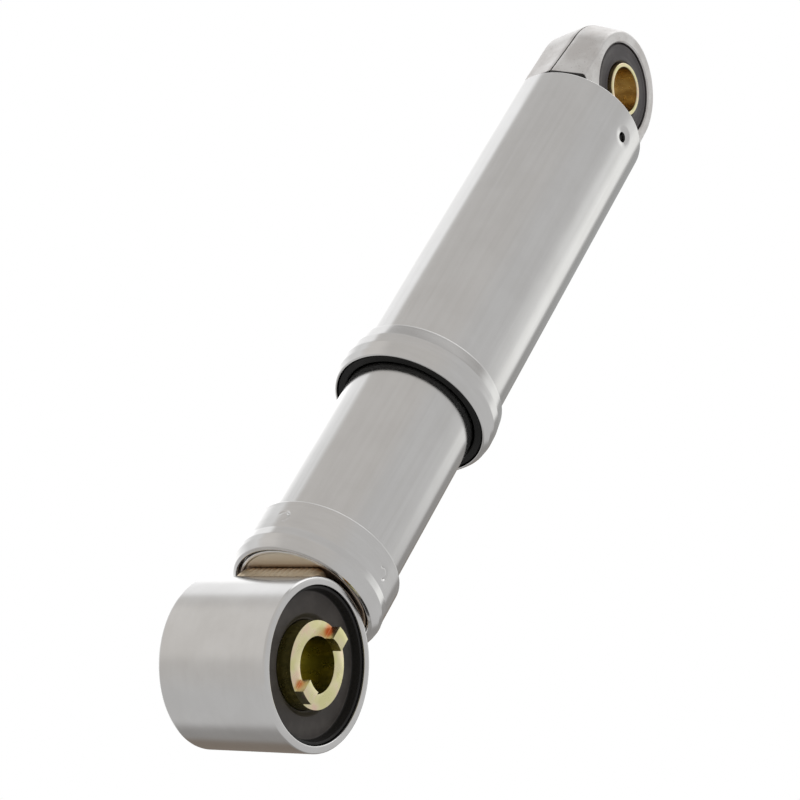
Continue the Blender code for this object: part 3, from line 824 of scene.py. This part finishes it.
# %% [markdown]
# The lower cover is a plain rolled tube. Its top edge, which stays inside the
# upper cover, is turned over slightly so that it does not score the plating.

# %% Lower cover
cover_r, cover_low, cover_high = span("lower_cover")
lower_cover = turned(
    "lower_cover_tube",
    softened([
        (cover_r, cover_low, 0.4),
        (cover_r, cover_high - 1.5, 1.0),
        (cover_r - 0.4, cover_high, 0.4),
        (cover_r - 1.4, cover_high, 0.3),
        (cover_r - 1.4, cover_low, 0.2),
    ]),
    angles=even_angles(192),
)
settle(lower_cover, "plate_along", "lower_half", "lower_cover")

# %% [markdown]
# A black nylon ring fills the mouth of the upper collar and guides the lower
# cover. Its visible face is nearly flat with a small lead-in on the inner edge.

# %% Guide ring
ring_r, ring_low, ring_high = span("cover_guide_ring")
RING_BORE = cover_r + 0.4
RING_FACE = ring_low + 2.0
guide_ring = turned(
    "guide_ring_nylon",
    softened([
        (RING_BORE, RING_FACE + 0.4, 0.2),
        (RING_BORE + 0.4, RING_FACE, 0.2),
        (27.0, RING_FACE, 0.2),
        (27.3, RING_FACE + 0.3, 0.2),
        (27.3, ring_low + 4.4),
        (ring_r, ring_low + 4.9, 0.1),
        (ring_r, ring_high, 0.2),
        (RING_BORE, ring_high, 0.2),
    ]),
)
settle(guide_ring, "nylon", "upper_half", "cover_guide_ring")

# %% [markdown]
# The upper collar bulges gently and rolls in at its mouth over the guide ring.
# Its upper edge is a thin bright line round the cover.

# %% Upper collar
belt_r, belt_low, belt_high = span("upper_collar")
upper_cover_r, top_low, top_high = span("upper_cover")
upper_collar = turned(
    "upper_collar_spun",
    softened([
        (27.75, belt_low, 0.25),
        (28.5, belt_low + 0.2, 0.5),
        (29.7, belt_low + 2.2, 2.0),
        (belt_r, belt_low + 5.2, 3.0),
        (belt_r - 0.05, belt_low + 9.2, 4.0),
        (29.45, belt_high - 0.5, 0.5),
        (28.9, belt_high, 0.3),
        (upper_cover_r + 0.3, belt_high, 0.1),
        (upper_cover_r + 0.3, belt_low + 8.4),
        (28.5, belt_low + 7.4),
        (28.5, belt_low + 2.4),
        (27.75, belt_low + 1.6, 0.2),
    ]),
    angles=even_angles(192),
)
settle(upper_collar, "plate_round", "upper_half", "upper_collar")

# %% [markdown]
# The upper cover is pinned to the casting near its top. Each pin hole sits in a
# dimple pressed into the sheet, so that its head stays below the surface. The
# dimple is a smooth dish in finer facets, and the hole is then cut through it.

# %% Upper cover with its dimples
PIN_Z = 267.4
pin_angles = [radians(-3.0), radians(177.0)]
DIMPLE_R, DIMPLE_DEEP, HOLE_R = 4.9, 0.95, 2.0


def dimpled(radius, angle, height):
    """Press a round dish round each pin hole."""
    for mark in pin_angles:
        across = turn_between(angle, mark) * upper_cover_r
        far = sqrt(across**2 + (height - PIN_Z) ** 2) / DIMPLE_R
        if far < 1:
            radius -= DIMPLE_DEEP * (1 + cos(pi * far)) / 2
    return radius


def dish_rows(radius):
    """Wall points through the dimples, going up."""
    return rows(radius, PIN_Z - 5.2, PIN_Z + 5.2, 0.4)


wall = softened([
    (upper_cover_r, top_low, 0.4),
    (upper_cover_r, top_high, 0.45),
    (upper_cover_r - 1.3, top_high, 0.4),
    (upper_cover_r - 1.3, top_low, 0.3),
])
rising = next(i for i, p in enumerate(wall) if p.x > upper_cover_r - 0.01 and p.y > PIN_Z)
falling = next(i for i, p in enumerate(wall) if i > rising + 8 and p.y < PIN_Z)
upper_cover = turned(
    "upper_cover_tube",
    wall[:rising]
    + dish_rows(upper_cover_r)
    + wall[rising:falling]
    + dish_rows(upper_cover_r - 1.3)[::-1]
    + wall[falling:],
    angles=denser_angles(192, pin_angles, 5.2 / upper_cover_r, 0.4 / upper_cover_r),
    shape=dimpled,
)
for mark in pin_angles:
    side = Vector((cos(mark), sin(mark), 0))
    carve(upper_cover, bar(side * 21 + Vector((0, 0, PIN_Z)), side * 31 + Vector((0, 0, PIN_Z)), HOLE_R))
settle(upper_cover, "plate_along", "upper_half", "upper_cover")

# %% [markdown]
# The upper eye is lofted from stations across its width: each is a flat foot,
# two straight flanks and a round top. The flanks draw in from the mould's
# parting line to both faces, so that the casting came out of its mould, and a
# fine groove marks that line. Every outline point has a partner on the bore,
# which makes the whole body one clean net of four-sided faces.

# %% Upper eye casting
eye_front = span("upper_bush_rubber", "X")[2]
casting_low, casting_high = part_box("upper_eye")
FACE_X = 13.5
FACE_R, FACE_LIFT = 22.3, 0.7
MIDDLE_LIFT = 3.5
MIDDLE_R = casting_high.z / MM - EYE_TO_EYE - MIDDLE_LIFT
FOOT_Z = 278.6
FACE_FOOT = 22.8
MIDDLE_FOOT = casting_high.y / MM
BUSH_BORE = 18.3
ARC_STEPS, FLANK_STEPS, FOOT_STEPS = 112, 10, 24
FOOT_SLOPE = 0.25


def eye_outline(top, lift, foot, low=FOOT_Z):
    """Closed outline in Y and Z: up one flank, over the top, down and back."""
    middle = EYE_TO_EYE + lift
    flank = [Vector((-foot, low)).lerp(Vector((-top, middle)), i / FLANK_STEPS) for i in range(FLANK_STEPS)]
    arc = [
        Vector((-top * cos(pi * i / ARC_STEPS), middle + top * sin(pi * i / ARC_STEPS)))
        for i in range(ARC_STEPS + 1)
    ]
    back = [Vector((-p.x, p.y)) for p in reversed(flank)]
    base = [Vector((foot - 2 * foot * i / FOOT_STEPS, low)) for i in range(1, FOOT_STEPS)]
    return flank + arc + back + base


def station(x, inset=0.0):
    """Outline of the casting at one distance from the parting line."""
    share = min(abs(x) / FACE_X, 1.0)
    top = MIDDLE_R + (FACE_R - MIDDLE_R) * share - inset
    lift = MIDDLE_LIFT + (FACE_LIFT - MIDDLE_LIFT) * share
    foot = MIDDLE_FOOT + (FACE_FOOT - MIDDLE_FOOT) * share - inset
    return [(x, p.x, p.y) for p in eye_outline(top, lift, foot, FOOT_Z + FOOT_SLOPE * inset)]


def bore_ring(x, radius):
    """Points round the bore, one straight inside each outline point."""
    ring = []
    for p in eye_outline(FACE_R, FACE_LIFT, FACE_FOOT):
        turn = atan2(p.y - EYE_TO_EYE, p.x)
        ring.append((x, radius * cos(turn), EYE_TO_EYE + radius * sin(turn)))
    return ring


def between(first, second, share):
    """Ring part of the way from one ring to another."""
    return [tuple(Vector(a).lerp(Vector(b), share)) for a, b in zip(first, second)]


EDGE = 0.9
half_rings = [station(0.0, 0.6), station(0.22, 0.55), station(0.36, 0.1), station(0.5)]
half_rings += [station(x) for x in (2.5, 5.0, 7.5, 10.0, FACE_X - EDGE - 0.3)]
for turn in (0, 22.5, 45, 67.5, 90):
    cut = EDGE * (1 - cos(radians(turn)))
    half_rings.append(station(FACE_X - EDGE + EDGE * sin(radians(turn)), cut))
rim, bore_edge = station(FACE_X, EDGE + 0.25), bore_ring(FACE_X, BUSH_BORE + 0.7)
half_rings += [rim] + [between(rim, bore_edge, share) for share in (0.33, 0.66)]
half_rings += [bore_edge, bore_ring(FACE_X, BUSH_BORE + 0.5), bore_ring(FACE_X - 0.5, BUSH_BORE)]
half_rings += [bore_ring(x, BUSH_BORE) for x in (9.0, 4.5)]
other_half = [[(-x, y, z) for x, y, z in ring] for ring in half_rings[1:]]
casting = swept("upper_eye_casting", half_rings + [bore_ring(0.0, BUSH_BORE)] + other_half[::-1], True)
spigot_low = casting_low.z / MM
SPIGOT_R, SPIGOT_BITE, SPIGOT_TURN = 25.35, 0.6, 0.011
ROD_BORE_R, ROD_BORE_TOP, PIN_BORE_R = 5.3, 276, 2.2
spigot = turned(
    "spigot",
    softened([
        (0, spigot_low),
        (SPIGOT_R, spigot_low, 0.8),
        (SPIGOT_R, FOOT_Z + SPIGOT_BITE, 0.5),
        (0, FOOT_Z + SPIGOT_BITE),
    ]),
    angles=[angle + SPIGOT_TURN for angle in even_angles(128)],
)
carve(casting, spigot, "UNION")
carve(casting, bar((0, 0, spigot_low - 2), (0, 0, ROD_BORE_TOP), ROD_BORE_R))
for mark in pin_angles:
    side = Vector((cos(mark), sin(mark), 0))
    carve(casting, bar(side * 18.5 + Vector((0, 0, PIN_Z)), side * 30 + Vector((0, 0, PIN_Z)), PIN_BORE_R))
settle(casting, "casting", "upper_half", "upper_eye")

# %% [markdown]
# The cover pins are short steel dowels with domed heads, sunk in the dimples.
# They are finished near black, as painted shade in the pin holes.

# %% Cover pins
PIN_R, PIN_HEAD, PIN_FOOT = 1.7, 25.6, 18.9
for name, mark in (("cover_pin_front", pin_angles[0]), ("cover_pin_rear", pin_angles[1])):
    dowel = turned(
        name + "_domed",
        softened([
            (0, PIN_FOOT),
            (PIN_R, PIN_FOOT, 0.3),
            (PIN_R, PIN_HEAD - 0.4, 0.3),
            (PIN_R * 0.6, PIN_HEAD - 0.1, 0.6),
            (0, PIN_HEAD),
        ]),
        axis="X",
        angles=even_angles(40),
    )
    dowel.data.transform(Matrix.Translation((0, 0, PIN_Z * MM)) @ Matrix.Rotation(mark, 4, "Z"))
    settle(dowel, "pin_hole_shade_black", "upper_half", name)

# %% [markdown]
# The upper bush is a rubber ring pressed in flush, with a shallow moulded
# valley between its two lips. The sleeve through it is a plain rolled tube.

# %% Upper bush and sleeve
upper_sleeve_r, _, upper_sleeve_end = span("upper_sleeve", "X")
UPPER_BORE = 8.7
upper_half_outline = [
    (upper_sleeve_r + 0.3, eye_front - 0.9),
    (upper_sleeve_r + 1.2, eye_front, 0.5),
    (13.2, eye_front - 0.25, 0.8),
    (15.4, eye_front - 0.25, 0.8),
    (17.2, eye_front, 0.5),
    (18.0, eye_front - 0.7),
]
upper_bush = turned(
    "upper_bush", softened(mirrored(upper_half_outline)), axis="X", centre=EYE_TO_EYE, angles=even_angles(128)
)
settle(upper_bush, "rubber_upper", "upper_half", "upper_bush_rubber")
upper_sleeve = turned(
    "upper_sleeve_tube",
    softened([
        (upper_sleeve_r, -upper_sleeve_end, 0.4),
        (upper_sleeve_r, upper_sleeve_end, 0.4),
        (UPPER_BORE, upper_sleeve_end, 0.35),
        (UPPER_BORE, -upper_sleeve_end, 0.35),
    ]),
    axis="X",
    centre=EYE_TO_EYE,
    angles=even_angles(128),
)
settle(upper_sleeve, "zinc_upper", "top_sleeve", "upper_sleeve")

# %% [markdown]
# The coil spring sits between its two seats inside the covers. The wire is
# swept up a helix whose end turns lie close and are ground flat, and the
# finished spring gets a mesh of its own.

# %% Coil spring
_, spring_low, spring_high = span("coil_spring")
SPRING_R, WIRE_R, TURNS = 18.6, 3.1, 17
STEPS_A_TURN, WIRE_SIDES = 48, 14


def coil_heights():
    """Height of the wire's centre at each step, closer at both ends."""
    closed = 2 * WIRE_R + 0.7
    first = spring_low + 0.45 * WIRE_R
    rise = spring_high - 0.45 * WIRE_R - first
    shares = []
    for step in range(TURNS * STEPS_A_TURN):
        turn = (step + 0.5) / STEPS_A_TURN
        shares.append(min(max((min(turn, TURNS - turn) - 0.9) / 0.4, 0.0), 1.0))
    pitch = (rise * STEPS_A_TURN - closed * sum(1 - s for s in shares)) / sum(shares)
    heights = [first]
    for share in shares:
        heights.append(heights[-1] + (closed + (pitch - closed) * share) / STEPS_A_TURN)
    return heights


wire_rings = []
for step, height in enumerate(coil_heights()):
    angle = 2 * pi * step / STEPS_A_TURN
    outward = Vector((cos(angle), sin(angle), 0))
    ring = []
    for turn in even_angles(WIRE_SIDES):
        point = outward * (SPRING_R + WIRE_R * cos(turn)) + Vector((0, 0, height + WIRE_R * sin(turn)))
        point.z = min(max(point.z, spring_low), spring_high)
        ring.append(point)
    wire_rings.append(ring)
spring = swept("coil_spring_wire", wire_rings, False)
settle(spring, "painted_spring", "lower_half", "coil_spring")
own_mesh(spring)

# %% [markdown]
# The other working parts keep their CAD shape, which is already turned, and
# take a finish each. Nodes are grouped by how they were made.

# %% Finishes of the working parts
working_parts = {
    "turned_steel": [
        "lower_spring_seat",
        "upper_spring_seat",
        "damper_base_cap",
        "gland_nut",
        "foot_valve_bolt",
        "foot_valve_disc",
        "rod_lock_nut",
        "bump_stop_cup",
        "rebound_stop_washer",
        "piston_intake_shim",
        "rebound_shim_stack",
        "piston_nut",
    ],
    "drawn_steel": ["damper_tube", "inner_cylinder"],
    "hard_chrome": ["piston_rod"],
    "sintered": ["foot_valve_body", "rod_guide", "damper_piston"],
    "bronze": ["rod_guide_bush", "seat_thrust_washer", "piston_ring"],
    "rubber_seal": ["guide_o_ring", "rod_oil_seal", "rebound_stop"],
    "stop_foam": ["bump_stop"],
}
for finish_name, nodes in working_parts.items():
    for node in nodes:
        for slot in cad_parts[node].material_slots:
            slot.material = finishes[finish_name]
    print(finish_name, len(nodes))
still_plain = set(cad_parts) - {n for nodes in working_parts.values() for n in nodes}
print("nodes with a new piece", len(still_plain))

# %% [markdown]
# Bright metal shows its room more than itself, so the room is what makes this
# finish. A grey studio surrounds the part, with a wide white softbox behind its
# left side, a gentler panel on its right and a dark card that draws the shaded
# edge. Each is a patch of the sky dome, placed by compass turn and by height,
# and later patches lie over the earlier ones.

# %% Studio
world = bpy.data.worlds.new("studio")
bpy.context.scene.world = world
sky = Graph(world)
gaze = sky.node("ShaderNodeTexCoord", output="Generated")
east, north, up = (sky.node("ShaderNodeSeparateXYZ", {}, {0: gaze}, i) for i in (0, 1, 2))
level = (east * east + north * north) ** 0.5
height = sky.node("ShaderNodeMath", {"operation": "ARCTAN2"}, {0: up, 1: level})


def patch(turn, half_width, soft, low, high, soft_height):
    """Mask of a soft-edged patch of the dome; all in degrees."""
    facing = (east * cos(radians(turn)) + north * sin(radians(turn))) / level
    facing = sky.node("ShaderNodeMath", {"operation": "MINIMUM"}, {0: facing, 1: 0.99999})
    away = sky.node("ShaderNodeMath", {"operation": "ARCCOSINE"}, {0: facing})
    sides = 1 - sky.step(away, radians(half_width - soft), radians(half_width + soft))
    bottom = sky.step(height, radians(low - soft_height), radians(low + soft_height))
    top = 1 - sky.step(height, radians(high - soft_height), radians(high + soft_height))
    return sides * bottom * top


GREY = (0.612, 0.607, 0.604)
room = sky.ramp(
    sky.step(height, radians(44), radians(66)),
    (0.0, GREY),
    (0.3, (0.42, 0.41, 0.40)),
    (0.5, (0.50, 0.49, 0.48)),
    (1.0, (1.45, 1.45, 1.45)),
)
studio = {
    # turn, half width, edge softness, lowest, highest, softness in height, colour
    "warm wall": (-95, 60, 20, -60, 43, 6, (0.615, 0.595, 0.575)),
    "wall glow": (-131, 15, 9, -28, 29, 7, (0.745, 0.720, 0.695)),
    "right panel": (60, 28, 14, 39.5, 75, 3, (0.88, 0.88, 0.87)),
    "right panel heart": (70, 15, 9, 37.0, 75, 3, (1.06, 1.06, 1.04)),
    "shade": (112, 27, 5, -42, 60, 12, (0.33, 0.32, 0.31)),
    "upper shade": (108, 22, 6, 39, 60, 3, (0.40, 0.40, 0.395)),
    "dark card": (127, 13, 4, -12, 37, 5, (0.23, 0.195, 0.165)),
    "softbox": (177, 36.0, 3, -20, 80, 9, (1.10, 1.10, 1.105)),
    "softbox heart": (161, 17, 4, -10, 70, 10, (1.36, 1.36, 1.36)),
    "softbox foot": (203, 13, 8, -20, 37, 3, (0.82, 0.82, 0.82)),
}
for *place, colour in studio.values():
    room = sky.mix(patch(*place), room, colour)
lit = sky.node("ShaderNodeBackground", {}, {"Color": room}, "Background")
plain = sky.node("ShaderNodeBackground", {}, {"Color": (1.0, 1.0, 1.0, 1.0)}, "Background")
seen = sky.node("ShaderNodeLightPath", output="Is Camera Ray")
both = sky.node("ShaderNodeMixShader", {}, {"Fac": seen, 1: lit, 2: plain})
sky.node("ShaderNodeOutputWorld", {}, {"Surface": both})
print("studio patches", len(studio))

# %% [markdown]
# The floor is pale and plain. It is a disc just under the lower eye that fades
# out before its rim, so that it has no horizon, and it is one-sided: from below
# it is clear, because the main camera looks up at the part. The floor is also
# kept out of mirror reflections, because its dark lower side would blacken the
# underside of the bright metal.

# %% Floor
FLOOR_R = 3.0
floor_z = cad_low.z - 0.0005
floor_mesh = bpy.data.meshes.new("floor")
work = bmesh.new()
bmesh.ops.create_circle(work, cap_ends=True, cap_tris=True, radius=FLOOR_R, segments=96)
work.to_mesh(floor_mesh)
work.free()
floor = bpy.data.objects.new("floor", floor_mesh)
floor.location.z = floor_z
bpy.context.scene.collection.objects.link(floor)
floor_finish = bpy.data.materials.new("pale_floor")
paint = Graph(floor_finish)
cloud = paint.noise(3.0)
matt = paint.node(
    "ShaderNodeBsdfPrincipled",
    {},
    {
        "Base Color": paint.mix(cloud, (0.80, 0.80, 0.80), (0.83, 0.83, 0.825)),
        "Roughness": 0.9,
        "Specular IOR Level": 0.1,
    },
)
clear = paint.node("ShaderNodeBsdfTransparent")
spot = paint.place()
far = paint.node("ShaderNodeVectorMath", {"operation": "LENGTH"}, {0: spot}, "Value")
fade = paint.step(far, 0.35 * FLOOR_R, 0.95 * FLOOR_R)
under = paint.node("ShaderNodeNewGeometry", output="Backfacing")
hidden = paint.node("ShaderNodeMath", {"operation": "MAXIMUM"}, {0: fade, 1: under})
one_sided = paint.node("ShaderNodeMixShader", {}, {"Fac": hidden, 1: matt, 2: clear})
paint.node("ShaderNodeOutputMaterial", {}, {"Surface": one_sided})
floor_mesh.materials.append(floor_finish)
floor.visible_glossy = False
print("floor at", round(floor_z / MM, 1), "mm")

# %% [markdown]
# The camera stands low on the bolt's side and looks up the shock with a long
# lens, rolled so that the part leans to the right. Its place is given as a turn
# round the aim point, a height angle and a distance, as on a studio arm.

# %% Camera
AIM = Vector((0.0, -7.2446, 117.9105)) * MM
DISTANCE = 1019.9315 * MM
TURN, LIFT, ROLL = radians(46.1137), radians(-37.6807), radians(30.1873)
lens = bpy.data.cameras.new("camera")
lens.lens, lens.sensor_width = 131.52, 36.0
lens.clip_start, lens.clip_end = 0.05, 20.0
camera = bpy.data.objects.new("camera", lens)
back = Vector((sin(TURN) * cos(LIFT), -cos(TURN) * cos(LIFT), sin(LIFT)))
camera.location = AIM + back * DISTANCE
camera.rotation_mode = "QUATERNION"
camera.rotation_quaternion = (-back).to_track_quat("-Z", "Y") @ Quaternion((0, 0, 1), ROLL)
bpy.context.scene.collection.objects.link(camera)
bpy.context.scene.camera = camera
bpy.context.scene.view_settings.view_transform = "Standard"
print("camera at", [round(c / MM) for c in camera.location])
